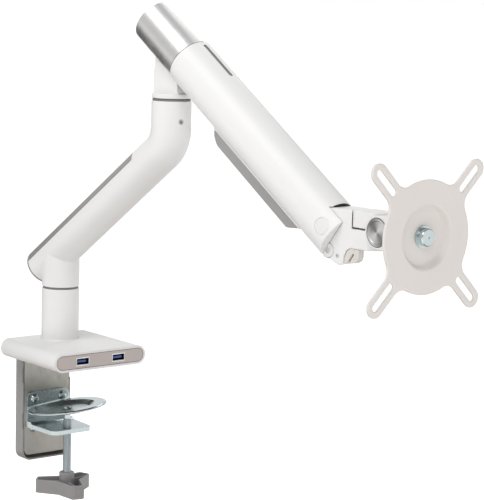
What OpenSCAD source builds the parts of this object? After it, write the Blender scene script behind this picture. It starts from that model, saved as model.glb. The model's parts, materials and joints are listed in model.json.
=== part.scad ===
// Desk-clamp monitor arm: a clamped base with a column, a fixed-height lower arm,
// a spring-balanced upper arm with a parallel link, and a tilting, turning plate.
// Millimetres. +Z is up, the front panel with the data ports faces -Y, and the
// origin is on the desk face of the base, on the axis of the column.

/* [Base] */
// Width of the base slab
base_w = 100; // [96:1:108]
// Depth of the base slab, front to back
base_d = 94.5; // [90:0.5:100]
// Thickness of the base slab, with full-round sides
base_h = 17.4; // [16.8:0.1:18]
// Distance from the column axis to the rear face of the slab
base_rear = 25; // [24:1:28]

/* [Column and lower arm] */
// Radius of the column, the sleeve and the elbow collar
column_r = 17.6; // [17.4:0.1:17.7]
// Height of the top of the column
column_top = 66.3; // [64:0.1:68]
// Horizontal distance from the column axis to the elbow axis
lower_reach = 149; // [145:1:155]
// Radius of the sloping part of the lower arm
slope_r = 17.8; // [17.8:0.1:18.2]
// Angle of both arms to the horizontal, as stored
slope_deg = 36.7; // [36:0.1:37.5]
// Height of the sloping part's centre line over the column axis
slope_z = 102.1; // [101:0.1:103]
// Centre-line radius of the bend at the elbow
elbow_bend_r = 27.5; // [26:0.5:29]
// Height of the top of the elbow collar
collar_top = 251; // [250:0.5:253]
// Turn of the lower arm about the column, as stored
lower_yaw = 6.7; // [0:0.1:10]

/* [Spring arm] */
// Turn of the spring arm about the vertical, as stored
upper_yaw = 7.5; // [0:0.1:10]
// Height of the rear pivot
pivot_z = 309.9; // [309:0.1:311]
// Distance between the rear and the front pivots
link_len = 247; // [244:1:250]
// Height of each main pivot over its link pivot
link_drop = 20; // [19:0.5:21]
// Outer radius of the spring tube
tube_r = 21.75; // [21.5:0.05:22]
// Height of the pivot line over the centre line of the tube
tube_drop = 5; // [4.5:0.5:5.5]
// Outer radius of the metal end sleeve
sleeve_r = 20.8; // [20.6:0.1:21]

/* [Head] */
// Distance from the elbow axis to the head's swivel axis
swivel_reach = 236; // [235:0.5:237]
// Distance from the swivel axis to the front face of the plate
plate_ahead = 60; // [59:0.5:61]
// Distance from the tilt axis to the front face of the plate
tilt_back = 40; // [39.5:0.5:40.5]
// Width of the knuckle and of the head block
knuckle_w = 24.8; // [24.4:0.1:25]
// Radius of the plate's round middle
plate_r = 45; // [44:0.5:46]
// Half the hole spacing of the larger screw pattern
screw_far = 50; // [50:1:50]
// Half the hole spacing of the smaller screw pattern
screw_near = 37.5; // [37.5:0.5:37.5]
// Width of the plate's screw slots
slot_w = 5.6; // [5:0.1:6]

/* [Desk clamp] */
// Distance from the column axis to the clamp screw
screw_y = -14.5; // [-15:0.5:-14]
// Height of the pressure disc's rim, as stored
disc_z = -46; // [-48:1:-44]
// Direction of the axis that the disc is tilted about
disc_turn = 40.7; // [35:0.1:45]
// Radius of the pressure disc
disc_r = 37.3; // [36:0.1:38]
// Tilt of the loose pressure disc, as stored
disc_tilt = 7.8; // [5:0.1:9]
// Height of the underside of the clamp's back plate
clamp_low = -98; // [-102:1:-96]
// Radius over the lobes of the knob
knob_r = 29; // [28:0.5:30]

/* [Hidden] */
$fn = 96;
eps = 0.01;

base_front = base_rear - base_d;
base_lift = 0.4;
panel_inset = 2.1;
port_x = 19.7;
port_w = 14.5;
port_h = 7;
port_deep = 14;
shaft_r = 12.5;
bush_r = 14;
fit = 0.05;
gap = 0.3;
washer_t = 1.7;
sleeve_low = column_top + 2;

elbow_axis_z = slope_z + lower_reach * tan(slope_deg);
bend_deg = 90 - slope_deg;
bend_tangent = elbow_bend_r * tan(bend_deg / 2);
slope_len = lower_reach / cos(slope_deg) - bend_tangent;
slope_start = -30.6;
cover_n = 7;
cover_end = 150;
mouth = 14;
bend_r = slope_r + 0.12;
lap = 0.6;
yoke_low = collar_top + 2.2;
yoke_top = yoke_low + 4.3;
yoke_shaft_r = 11.5;
elbow_bush_r = 13;
blade_t = 16;

elbow_x = lower_reach * sin(lower_yaw);
elbow_y = -lower_reach * cos(lower_yaw);
swivel_x = elbow_x + swivel_reach * sin(upper_yaw);
swivel_y = elbow_y - swivel_reach * cos(upper_yaw);
front_u = link_len * cos(slope_deg);
front_z = pivot_z - link_len * sin(slope_deg);
plate_y = swivel_y - plate_ahead;
tilt_z = front_z + 0.3;

tube_wall = 2.4;
slot_half = 2.2;
tube_from = 32.7;
tube_to = 256.7;
fork_from = 226;
fork_w = 26;
fork_top_from = 239.7;
sleeve_from = -24.3;
pin_r = 4;
link_t = 7.6;
barrel_r = 14.5;
knuckle_top = 14.5;
knuckle_wall = 25.6;
ledge_top = -0.5;
ledge_low = -16.3;
swivel_u = swivel_reach - front_u;
head_r = 17.6;
boss_r = 13.6;
cheek_in = 12.9;
cheek_out = 16.2;
lug_r = 12;

/* ---- frames ---- */

// The lower arm's frame: -Y runs out along the arm
module on_lower() rotate([0, 0, lower_yaw]) children();

// The slope's frame: -Y runs up the slope, +Z away from its upper side
module on_slope() on_lower() translate([0, 0, slope_z]) rotate([-slope_deg, 0, 0]) children();

// The spring arm's level frame, on the elbow axis
module on_upper() translate([elbow_x, elbow_y, 0]) rotate([0, 0, upper_yaw]) children();

// The spring tube's frame: origin on the rear pivot, -Y runs out along the tube
module on_tube() on_upper() translate([0, 0, pivot_z]) rotate([slope_deg, 0, 0]) children();

// The knuckle's level frame: origin on the front pivot, -Y runs forward
module on_knuckle() on_upper() translate([0, -front_u, front_z]) children();

// The swivelling head's frame: origin on the swivel axis, -Y runs forward
module on_head() translate([swivel_x, swivel_y, tilt_z]) children();

// The plate's frame: origin at the middle of its front face, +Z forward, +Y up
module on_plate() translate([swivel_x, plate_y, tilt_z]) rotate([90, 0, 0]) children();

// The clamp screw's frame, level with the disc's rim
module on_screw() translate([0, screw_y, disc_z]) children();

// A cylinder along Y from y = -a down to y = -b
module along(a, b, r) translate([0, -a, 0]) rotate([90, 0, 0]) cylinder(h = b - a, r = r);

// A cylinder across X, centred
module across(w, r) rotate([0, 90, 0]) cylinder(h = w, r = r, center = true);

// A ring round Z
module ring(r_out, r_in, h) difference() {
  cylinder(h = h, r = r_out);
  translate([0, 0, -1]) cylinder(h = h + 2, r = r_in);
}

// A side outline of [forward, up] points, extruded across X
module side_plate(w, points) rotate([90, 0, -90]) translate([0, 0, -w / 2])
  linear_extrude(w) polygon(points);

// A flat capsule of width w and height h, centred
module capsule(w, h) {
  square([w - h, h], center = true);
  for (side = [-1, 1]) translate([side * (w - h) / 2, 0]) circle(d = h);
}

// A capsule bar along Y between two depths, centred on height z
module capsule_bar(w, h, y_front, y_back, z) translate([0, y_back, z]) rotate([90, 0, 0])
  linear_extrude(y_back - y_front) capsule(w, h);

/* ---- base ---- */

// The screws that hold the column's flange, and those of the clamp plate's tab
module at_base_screws() for (x = [-17, 17], y = [-19, 5]) translate([x, y, 0]) children();
module at_tab_screws() for (x = [-16, 16]) translate([x, 14, 0]) children();

module base_cover() color("white") difference() {
  capsule_bar(base_w, base_h, base_front, base_rear, base_h / 2 + base_lift / 2);
  // hollow for the plate and the board
  capsule_bar(base_w - 6, base_h - 6, base_front + 3, base_rear - 3, base_h / 2 + base_lift / 2);
  // front opening with its seat for the panel
  capsule_bar(base_w - 8, base_h - 7.4, base_front - 1, base_front + 8, base_h / 2 + base_lift / 2);
  capsule_bar(base_w - 2 * panel_inset, base_h - 2 * panel_inset, base_front - 1, base_front + 2,
    base_h / 2 + base_lift / 2);
  // opening for the base plate
  translate([-39.2, base_front + 9, -1]) cube([78.4, base_d - 13, 6]);
  // notch for the neck of the clamp plate
  translate([-22.3, 9.9, -1]) cube([44.6, 15.2, 7.4]);
  // passage for the column shaft
  cylinder(h = base_h + 4, r = shaft_r + 0.6);
}

module base_plate() color("dimgray") difference() {
  translate([-39, base_front + 9.2, 1]) cube([78, base_d - 13.4, 3]);
  at_base_screws() cylinder(h = 6, r = 2.2);
  at_tab_screws() cylinder(h = 6, r = 2.2);
}

module base_pad() color("black") difference() {
  translate([-37, base_front + 11, 0]) cube([74, base_d - 17, 0.9]);
  translate([0, 0, -1]) {
    at_base_screws() cylinder(h = 3, r = 4.6);
    at_tab_screws() cylinder(h = 3, r = 4.6);
  }
}

module port_hole() translate([0, 0, -port_h / 2]) rotate([90, 0, 0]) translate([-port_w / 2, 0, 0])
  cube([port_w, port_h, 20]);

module usb_panel() color("rosybrown") difference() {
  capsule_bar(base_w - 2 * panel_inset - 0.3, base_h - 2 * panel_inset - 0.3, base_front + 0.2,
    base_front + 1.9, base_h / 2 + base_lift / 2);
  for (side = [-1, 1]) translate([side * port_x, base_front + 5, base_h / 2]) port_hole();
}

module usb_shells() color("silver") for (side = [-1, 1])
  translate([side * port_x, base_front + 0.5, base_h / 2]) difference() {
    translate([-port_w / 2 + 0.1, 0, -port_h / 2 + 0.1]) cube([port_w - 0.2, port_deep, port_h - 0.2]);
    translate([-port_w / 2 + 0.7, -1, -port_h / 2 + 0.7]) cube([port_w - 1.4, port_deep, port_h - 1.4]);
  }

module usb_tongues() color("royalblue") for (side = [-1, 1])
  translate([side * port_x - 5.6, base_front + 6, base_h / 2 - 0.3]) cube([11.2, port_deep - 6.6, 2]);

module usb_board() color("green") translate([-33, base_front + 5, base_h / 2 - 4.65])
  cube([66, 26, 1.2]);

module base_screws() color("silver") {
  translate([0, 0, 0.35]) {
    at_base_screws() countersunk(7.4);
    at_tab_screws() countersunk(5.6);
  }
}

// A flat-head screw that points up, with a cross-free dimple in its head
module countersunk(l) difference() {
  union() {
    cylinder(h = 0.6, r = 4);
    cylinder(h = l, r = 2.1);
  }
  translate([0, 0, -1]) cylinder(h = 1.3, r = 1.4, $fn = 6);
}

module column() color("white") difference() {
  union() {
    translate([0, 0, base_h + base_lift / 2 + 0.02]) cylinder(h = 1.2, r1 = column_r + 1, r2 = column_r);
    translate([0, 0, base_h + base_lift / 2 + 0.02])
      cylinder(h = column_top - base_h - base_lift / 2 - 0.52, r = column_r);
    translate([0, 0, column_top - 0.5]) cylinder(h = 0.5, r1 = column_r, r2 = column_r - 0.5);
  }
  cylinder(h = column_top + 5, r = shaft_r + 0.02);
}

module column_shaft() color("silver") difference() {
  union() {
    translate([-23, -25, 4.02]) cube([46, 34.6, 4]);
    translate([0, 0, 4.02]) cylinder(h = 93.5, r = shaft_r);
    translate([0, 0, 97.5]) cylinder(h = 1, r1 = shaft_r, r2 = shaft_r - 1);
  }
  translate([0, 0, 3]) cylinder(h = 100, r = 8);
  at_base_screws() cylinder(h = 12, r = 2.11);
}

module column_washer() color("dimgray") translate([0, 0, column_top + 0.02])
  ring(column_r - 0.8, shaft_r + 0.1, washer_t);

/* ---- desk clamp ---- */

clamp_face = 22;
clamp_back = base_rear - 0.2;

module clamp_plate() color("darkkhaki") difference() {
  union() {
    translate([-25, clamp_face, clamp_low + 6]) cube([50, clamp_back - clamp_face, -clamp_low - 6.4]);
    translate([-19, clamp_face, clamp_low]) cube([38, clamp_back - clamp_face, 7]);
    for (side = [-1, 1]) translate([side * 19, clamp_back, clamp_low + 6]) rotate([90, 0, 0])
      cylinder(h = clamp_back - clamp_face, r = 6);
    // neck and tab that turn forward under the base plate
    translate([-22, 21.2, -0.41]) cube([44, 3.6, 4.4 + 2.1]);
    translate([-22, 10.2, 4.09]) cube([44, 14.6, 2]);
  }
  at_tab_screws() cylinder(h = 9, r = 2.11);
  // the tab reaches round the column shaft
  cylinder(h = 9, r = shaft_r + gap);
  for (x = [-1, 1], z = [-43, -73]) translate([15.6 * x, 30, z]) rotate([90, 0, 0]) cylinder(h = 12, r = 2.6);
}

cover_out = 26.6;
cover_back = 35.2;

module cover_outline(w, low, round) {
  translate([-w, low + round]) square([2 * w, -low - round - 0.8]);
  translate([-w + round, low]) square([2 * (w - round), 2 * round]);
  for (side = [-1, 1]) translate([side * (w - round), low + round]) circle(r = round);
}

module clamp_cover() color("gray") difference() {
  union() {
    translate([0, cover_back, 0]) rotate([90, 0, 0]) linear_extrude(cover_back - 22.4)
      cover_outline(cover_out, clamp_low - 5.5, 9);
    // snap tab at the upper right edge
    translate([cover_out - 1.2, 21.4, -8]) cube([2.2, 3, 6]);
  }
  // cable channel behind the steel plate
  translate([0, cover_back - 1.8, 0]) rotate([90, 0, 0]) linear_extrude(20)
    cover_outline(cover_out - 1.5, clamp_low - 4, 7.5);
  // open top end
  translate([-20, 26, -10]) cube([40, 7, 12]);
  // snap notches in both front edges
  for (side = [-1, 1], z = [-27, -72]) translate([side * (cover_out - 0.5) - 1.5, 22, z]) cube([3, 1.8, 15]);
}

bracket_low = -70;
bracket_t = 4;

module clamp_bracket() color("lightsteelblue") difference() {
  union() {
    // upright flange with round upper corners
    translate([0, clamp_face - 0.02, 0]) rotate([90, 0, 0]) linear_extrude(2.9) {
      translate([-23.8, -66]) square([47.6, 23]);
      translate([-16.8, -66]) square([33.6, 30]);
      for (side = [-1, 1]) translate([side * 16.8, -43]) circle(r = 7);
    }
    // bend
    intersection() {
      translate([-23.8, 13.9, -64]) rotate([0, 90, 0]) cylinder(h = 47.6, r = clamp_face - 13.92);
      translate([-24, 10, bracket_low]) cube([48, 12, 6]);
    }
    // foot, tapering forward
    translate([0, 0, bracket_low]) linear_extrude(bracket_t)
      polygon([[-23.8, 15], [23.8, 15], [22.2, -20.5], [18.2, -25], [-18.2, -25], [-22.2, -20.5]]);
  }
  // inside of the bend
  translate([-30, 13.9 - 5, bracket_low + bracket_t + 5]) rotate([0, 90, 0]) cylinder(h = 60, r = 5);
  translate([-30, -30, bracket_low + bracket_t]) cube([60, 38.9, 50]);
  translate([-30, -30, bracket_low + bracket_t + 5]) cube([60, 43.9, 50]);
  translate([-30, clamp_face - 2.92 - 20, -64]) cube([60, 20, 60]);
  translate([0, screw_y, bracket_low - 1]) cylinder(h = 8, r = 4.05);
  for (x = [-1, 1]) translate([15.6 * x, 30, -43]) rotate([90, 0, 0]) cylinder(h = 15, r = 2.6);
}

// A round-head bolt along -Y, its seat at y = 0
module round_bolt(l) {
  rotate([90, 0, 0]) rotate_extrude() intersection() {
    translate([0, -1.6]) circle(r = 4.4);
    square([5, 5]);
  }
  translate([0, l, 0]) rotate([90, 0, 0]) cylinder(h = l, r = 2.55);
}

module bracket_bolts() color("lightsteelblue") {
  for (x = [-1, 1]) translate([15.6 * x, clamp_face - 2.95, -43]) round_bolt(7.2);
  for (x = [-1, 1]) translate([15.6 * x, clamp_face - 0.05, -73]) scale(0.8) round_bolt(5);
  translate([-4, clamp_face - 2.95, -58]) scale(0.62) rotate([90, 0, 0]) rotate_extrude() intersection() {
    translate([0, -1.6]) circle(r = 4.4);
    square([5, 5]);
  }
}

module disc_rivet() color("silver") on_screw() difference() {
  union() {
    translate([0, 0, -13]) cylinder(h = 12.01, r = 2.6);
    translate([0, 0, -1]) cylinder(h = 1.2, r1 = 4.4, r2 = 3.6);
  }
  translate([-6, -0.5, -0.5]) cube([12, 1, 2]);
}

// Section of the pressed disc, [radius, height] from its hole to its rim
module disc_section() polygon([
  [3.3, -3.9], [20, -3.9], [26, -0.6], [disc_r - 1.2, -0.6], [disc_r, -1.4],
  [disc_r, -2.6], [26.4, -2.8], [20.6, -6.1], [3.3, -6.1]
]);

module pressure_disc() color("lightsteelblue") on_screw() rotate([0, 0, disc_turn]) rotate([-disc_tilt, 0, 0])
  rotate([0, 0, -disc_turn]) difference() {
    translate([0, 0, 1.9]) rotate_extrude($fn = 128) disc_section();
    translate([-50, 29.5, -10]) cube([100, 20, 20]);
}

thread_r = 4;
screw_top = -10.2;
screw_low = -74;

module clamp_screw() color("silver") on_screw() difference() {
  translate([0, 0, screw_low]) union() {
    cylinder(h = screw_top - screw_low - 1, r = thread_r);
    translate([0, 0, screw_top - screw_low - 1]) cylinder(h = 1, r1 = thread_r, r2 = thread_r - 0.8);
    translate([0, 0, screw_top - screw_low - 0.5]) cylinder(h = 4.2, r = 3);
  }
  translate([0, 0, screw_top - 4]) cylinder(h = 12, r = 2.65);
}

knob_top = -70.5;
knob_h = 13;
knob_wall = 2;
knob_turn = 20;
lobe_half = 6.5;
lobe_corner = 2.5;
notch_r = 13.5;
// slope of a lobe's side, from the notch to the tip
lobe_taper = atan((notch_r * sin(60) - lobe_half) / (knob_r - notch_r * cos(60)));

// Half of one lobe's outline, from its tip to the notch, inset by w; side is 1 or -1
function lobe_side(w, side) = concat(
  [for (k = [0:4]) let (a = (90 - lobe_taper) * k / 4)
    [knob_r - lobe_corner + (lobe_corner - w) * cos(a),
      side * (lobe_half - lobe_corner + (lobe_corner - w) * sin(a))]],
  [(notch_r - w / cos(30 - lobe_taper)) * [cos(60), side * sin(60)]]);

function turned(p, a) = [p.x * cos(a) - p.y * sin(a), p.x * sin(a) + p.y * cos(a)];

// Outline of the three-lobed knob, inset by w
module knob_outline(w) polygon([for (i = [0:2])
  let (upper = lobe_side(w, 1), lower = lobe_side(w, -1))
    each [for (p = [for (k = [4:-1:0]) lower[k], each upper]) turned(p, knob_turn + 120 * i)]]);

module clamp_knob() color("gray") on_screw() translate([0, 0, knob_top - knob_h]) difference() {
  union() {
    difference() {
      linear_extrude(knob_h) knob_outline(0);
      translate([0, 0, 2.5]) linear_extrude(knob_h) knob_outline(knob_wall);
    }
    // ribs from the hub to the lobes, lower than the rim
    translate([0, 0, 1]) linear_extrude(knob_h - 3) for (i = [0:2]) rotate(knob_turn + 120 * i)
      translate([0, -0.8]) square([knob_r - 1, 1.6]);
    cylinder(h = knob_h + 6.5, r = 7.2);
    translate([0, 0, knob_h + 6.5]) cylinder(h = 0.8, r1 = 7.2, r2 = 6.4);
  }
  translate([0, 0, 9]) cylinder(h = 30, r = thread_r + 0.02);
  translate([0, 0, -1]) cylinder(h = 3, r = 5);
}

/* ---- lower arm ---- */

module lower_arm() color("white") difference() {
  union() {
    on_lower() {
      translate([0, 0, sleeve_low + 0.5]) cylinder(h = slope_z - sleeve_low - 0.5, r = column_r);
      translate([0, 0, sleeve_low]) cylinder(h = 0.5, r1 = column_r - 0.5, r2 = column_r);
      // bend and collar
      translate([0, -(lower_reach - elbow_bend_r), elbow_axis_z + bend_tangent]) rotate([90, 0, -90])
        rotate([0, 0, -bend_deg]) rotate_extrude(angle = bend_deg)
          translate([elbow_bend_r, 0]) circle(r = bend_r);
      translate([0, -lower_reach, elbow_axis_z + bend_tangent - lap])
        cylinder(h = collar_top - elbow_axis_z - bend_tangent - 0.5 + lap + eps, r = column_r);
      translate([0, -lower_reach, collar_top - 0.5]) cylinder(h = 0.5, r1 = column_r, r2 = column_r - 0.5);
    }
    on_slope() along(slope_start, slope_len + lap, slope_r);
  }
  on_lower() {
    cylinder(h = 100, r = bush_r);
    translate([0, -lower_reach, 219]) cylinder(h = 40, r = elbow_bush_r);
    translate([0, -lower_reach, 233.3]) rotate([90, 0, -13]) cylinder(h = 30, r = 2.5);
  }
  on_slope() {
    // seat of the cable cover and the cable channel below it
    translate([-20, -cover_end, cover_n]) cube([40, cover_end - slope_start + 1, 20]);
    translate([-10.5, -cover_end + 3, 2.5]) cube([21, cover_end - slope_start - 6, 20]);
  }
}

module lower_cable_cover() color("darkgray") on_slope() difference() {
  along(slope_start, cover_end - 0.3, slope_r);
  along(slope_start + 2, cover_end - 2.3, slope_r - 2);
  translate([-30, -200, cover_n + 0.1 - 60]) cube([60, 300, 60]);
  // a cable goes in at the lower end and out at the upper end
  for (y = [-slope_start - mouth - 4, -cover_end + 4]) translate([-mouth / 2, y, 10])
    cube([mouth, mouth, 12]);
}

module lower_end_cap() color("gray") difference() {
  on_slope() {
    along(slope_start - 1.9, slope_start - 0.02, slope_r);
    along(slope_start - 2.4, slope_start - 1.88, slope_r - 0.5);
  }
  // the cap stops at the sleeve
  cylinder(h = slope_z, r = column_r + gap / 2);
}

module sleeve_bushes() color("ivory") for (z = [sleeve_low + 0.02, 86]) translate([0, 0, z])
  ring(bush_r - 0.02, shaft_r + fit, 12);

module elbow_bushes() color("ivory") on_lower() for (z = [220, 240.9]) translate([0, -lower_reach, z])
  ring(elbow_bush_r - 0.02, yoke_shaft_r + fit, 10);

module elbow_set_screw() color("gray") on_lower() translate([0, -lower_reach, 233.3]) rotate([90, 0, -13])
  difference() {
    translate([0, 0, 13.1]) cylinder(h = 4.1, r = 2.48);
    translate([0, 0, 15.2]) cylinder(h = 4, r = 1.25, $fn = 6);
  }

module elbow_washer() color("dimgray") on_lower() translate([0, -lower_reach, collar_top + 0.02])
  ring(column_r - 0.8, yoke_shaft_r + 0.1, washer_t);

/* ---- yoke ---- */

blade_low = yoke_top - pivot_z;

module yoke() color("white") on_upper() difference() {
  union() {
    translate([0, 0, yoke_low]) cylinder(h = 0.5, r1 = column_r - 0.5, r2 = column_r);
    translate([0, 0, yoke_low + 0.5]) cylinder(h = yoke_top - yoke_low - 1, r = column_r);
    translate([0, 0, yoke_top - 0.51]) cylinder(h = 0.5, r1 = column_r, r2 = column_r - 0.5);
    translate([0, 0, pivot_z]) {
      intersection() {
        side_plate(blade_t, [[-15, blade_low - 0.6], [15, blade_low - 0.6], [15, -16], [12.6, -12],
          [11, 0], [-11, 0], [-12.6, -12], [-13.6, -16], [-13.6, -29], [-15, -32]]);
        translate([0, 0, blade_low - 1]) cylinder(h = 70, r = column_r - 0.6);
      }
      across(blade_t, 11.2);
    }
  }
  translate([0, 0, pivot_z]) {
    across(30, 6);
    translate([0, 0, -link_drop]) {
      across(30, 3);
      across(link_t + 1, 7.4);
      // passage for the link over its whole swing
      side_plate(link_t + 1, [[0, 5.2], [6, 10.5], [22, 24], [22, -24], [6, -10.5], [0, -5.2]]);
    }
  }
  translate([0, 0, yoke_low - 1]) cylinder(h = 16, r = 5.52);
}

module yoke_shaft() color("silver") on_upper() difference() {
  union() {
    translate([0, 0, 221]) cylinder(h = yoke_low - 221 - 0.02, r = yoke_shaft_r);
    translate([0, 0, 230]) cylinder(h = yoke_low + 14 - 230, r = 5.5);
  }
}

module yoke_bush() color("ivory") on_tube() difference() {
  across(blade_t, 5.98);
  across(blade_t + 2, pin_r + fit);
}

module yoke_link_pin() color("silver") on_upper() translate([0, 0, pivot_z - link_drop])
  across(blade_t, 2.98);

/* ---- spring arm ---- */

module tube_slot_rear() {
  // underside slot for the yoke blade, wider where the sleeve ends
  translate([-8.8, -47, -40]) cube([17.6, 80, 24]);
  translate([-13, -tube_from - 5.5, -40]) cube([26, 30, 20.5]);
}

module spring_tube() color("white") on_tube() translate([0, 0, -tube_drop]) difference() {
  union() {
    along(tube_from + 0.6, tube_to - 0.5, tube_r);
    translate([0, -tube_from, 0]) rotate([90, 0, 0]) cylinder(h = 0.6, r1 = tube_r - 0.6, r2 = tube_r);
    translate([0, -tube_to + 0.5, 0]) rotate([90, 0, 0]) cylinder(h = 0.5, r1 = tube_r, r2 = tube_r - 0.5);
  }
  along(tube_from - 1, fork_from, tube_r - tube_wall);
  tube_slot_rear();
  // fork for the knuckle
  translate([-fork_w / 2, -tube_to - 1, -30]) cube([fork_w, tube_to - fork_top_from + 1, 60]);
  translate([-fork_w / 2, -tube_to - 1, -30]) cube([fork_w, tube_to - 221, 30 + tube_drop]);
  translate([0, -link_len, tube_drop]) {
    across(fork_w, barrel_r + 0.8);
    across(60, pin_r + 0.02);
    for (side = [-1, 1]) translate([side * 23, 0, 0]) across(10, 6.8);
  }
  translate([-6, -fork_from - 2, -20]) cube([12, 10, 20]);
  // indicator slot on top
  for (y = [-39.2, -76.8]) translate([0, y, 10]) cylinder(h = 20, r = slot_half);
  translate([-slot_half, -76.8, 10]) cube([2 * slot_half, 37.6, 20]);
}

module end_sleeve() color("silver") on_tube() translate([0, 0, -tube_drop]) difference() {
  union() {
    along(sleeve_from + 0.8, tube_from - 0.25, sleeve_r);
    translate([0, -sleeve_from, 0]) rotate([90, 0, 0]) cylinder(h = 0.8, r1 = sleeve_r - 0.8, r2 = sleeve_r);
  }
  along(sleeve_from - 1, tube_from + 1, sleeve_r - 1.6);
  translate([-8.8, -60, -40]) cube([17.6, 100, 30]);
}

module end_plug() color("silver") on_tube() translate([0, 0, -tube_drop]) difference() {
  along(sleeve_from + 0.6, sleeve_from + 4, sleeve_r - 1.62);
  translate([-8.8, 0, -40]) cube([17.6, 40, 40 + tube_drop + 1]);
}

// Cast carrier under the end sleeve: two cheeks round the rear pivot and a cross wall
module rear_carrier() color("darkgray") on_tube() difference() {
  intersection() {
    translate([0, 0, -tube_drop]) along(-15, 50, sleeve_r - 1.65);
    side_plate(60, [[-12, -12], [40, -12], [50, -9], [50, 20], [-12, 20]]);
  }
  translate([-8.3, -43, -50]) cube([16.6, 100, 100]);
  // notch in the cross wall for the indicator
  translate([-8.3, -51, 12]) cube([16.6, 10, 10]);
  across(60, pin_r + 0.02);
  translate([0, 0, 2]) along(40, 60, 3.02);
}

module rear_pivot_pin() color("silver") on_tube() across(33.4, pin_r);

module front_pivot_pin() color("silver") on_tube() translate([0, -link_len, 0]) across(36, pin_r);

module pivot_caps() color("white") on_tube() intersection() {
  translate([0, 0, -tube_drop]) along(200, 256, tube_r - 0.1);
  union() for (side = [-1, 1]) translate([side * 21.1, -link_len, 0]) across(6, 6.6);
}

module indicator_window() color("gray") on_tube() translate([0, -58, -tube_drop + tube_r]) {
  translate([-slot_half + 0.15, -19.2, -3.6]) cube([2 * slot_half - 0.3, 38.4, 3.1]);
  translate([-4, -22, -4.3]) cube([8, 44, 0.8]);
}

module tension_nut() color("gold") on_tube() translate([0, 0, 2]) difference() {
  along(54, 61, 9.5);
  along(50, 70, 3.04);
}

module tension_rod() color("silver") on_tube() translate([0, 0, 2]) {
  along(44, 218, 3);
  along(218, 222, 6);
}

spring_turns = 16;
spring_sides = 6;
spring_steps = 16;
spring_wire = 1.6;
spring_r = 8.6;
spring_from = 63;
spring_to = 216;

function coil_point(k, j) =
  let (turn = 360 * k / spring_steps, around = 360 * j / spring_sides,
    r = spring_r + spring_wire * cos(around))
  [r * cos(turn), -spring_from - spring_wire
    - (spring_to - spring_from - 2 * spring_wire) * k / (spring_turns * spring_steps)
    + spring_wire * sin(around), 2 + r * sin(turn)];

module spring() color("gray") on_tube() {
  rings = spring_turns * spring_steps;
  points = [for (k = [0:rings], j = [0:spring_sides - 1]) coil_point(k, j)];
  sides = [for (k = [0:rings - 1], j = [0:spring_sides - 1])
    [k * spring_sides + j, k * spring_sides + (j + 1) % spring_sides,
      (k + 1) * spring_sides + (j + 1) % spring_sides, (k + 1) * spring_sides + j]];
  ends = [[for (j = [spring_sides - 1:-1:0]) j], [for (j = [0:spring_sides - 1]) rings * spring_sides + j]];
  polyhedron(points, concat(sides, ends));
}

channel_out = 27.3;
channel_w = 26;

// Side outline of the cable channel, [forward, up], grown by g at its top and front
module channel_outline(g) {
  polygon([[100.5 - g, -17], [101.5 - g, -20], [104 - g, -23], [108, -25.6], [112, -channel_out - g],
    [214 + g, -channel_out - g], [217.5 + g, -25], [224 + g, -19.5], [224.8 + g, -17]]);
}

module channel_solid(w, g) rotate([90, 0, -90]) translate([0, 0, -w / 2])
  linear_extrude(w) channel_outline(g);

module upper_cable_cover() color("gray") on_tube() translate([0, 0, -tube_drop]) difference() {
  channel_solid(channel_w, 0);
  along(90, 240, tube_r + 1.1);
  translate([-channel_w / 2 + 1.6, -211, -channel_out + 1.6]) cube([channel_w - 3.2, 98, 30]);
}

module upper_cable_rail() color("white") on_tube() translate([0, 0, -tube_drop]) difference() {
  intersection() {
    channel_solid(channel_w + 0.8, 0.8);
    along(90, 240, tube_r + 1.05);
  }
  along(90, 240, tube_r + 0.05);
}

/* ---- link and knuckle ---- */

module parallel_link() color("silver") on_upper() translate([0, 0, pivot_z - link_drop])
  rotate([slope_deg, 0, 0]) difference() {
    union() {
      across(link_t, 6);
      translate([0, -link_len, 0]) across(link_t, 6);
      translate([-link_t / 2, -link_len, -2.6]) cube([link_t, link_len, 5.2]);
    }
    across(link_t + 2, 3 + fit);
    translate([0, -link_len, 0]) across(link_t + 2, 3.3);
  }

module knuckle() color("white") on_knuckle() difference() {
  union() {
    across(knuckle_w, barrel_r);
    side_plate(knuckle_w, [[0, knuckle_top], [knuckle_wall + 5, knuckle_top], [knuckle_wall + 5, ledge_top],
      [swivel_u, ledge_top], [swivel_u, ledge_low], [23, ledge_low], [19.4, -18.6], [17.2, -23], [16.4, -28.4],
      [14.6, -30.4], [12, -31], [8, -29.6], [1.5, -26.6], [-5, -24], [-8, -14]]);
    translate([0, -swivel_u, ledge_low]) cylinder(h = ledge_top - ledge_low, r = knuckle_w / 2);
    translate([0, 0, -link_drop]) across(knuckle_w, 6.9);
  }
  // room for the head block to turn
  translate([0, -swivel_u, ledge_top]) cylinder(h = 40, r = head_r + 0.6);
  translate([0, -swivel_u, ledge_low - 1]) cylinder(h = 40, r = 5.02);
  across(60, 6);
  translate([0, 0, -link_drop]) across(60, 3.02);
  // recesses for the bosses of the link pin
  for (side = [-1, 1]) translate([side * (knuckle_w / 2), 0, -link_drop]) across(5, 6.2);
  // slot for the link over its whole swing
  side_plate(link_t + 1.2, [[8, -44], [8, -10], [0, -9], [-8, -6.5], [-18, 3.5], [-30, 14], [-30, -44]]);
  // hole of the small screw
  translate([0, -9.9, -23.6]) across(60, 1.62);
}

module knuckle_bush() color("ivory") on_knuckle() difference() {
  across(knuckle_w, 5.98);
  across(knuckle_w + 2, pin_r + fit);
}

module knuckle_link_pin() color("silver") on_knuckle() translate([0, 0, -link_drop]) across(knuckle_w - 5, 3);

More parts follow.
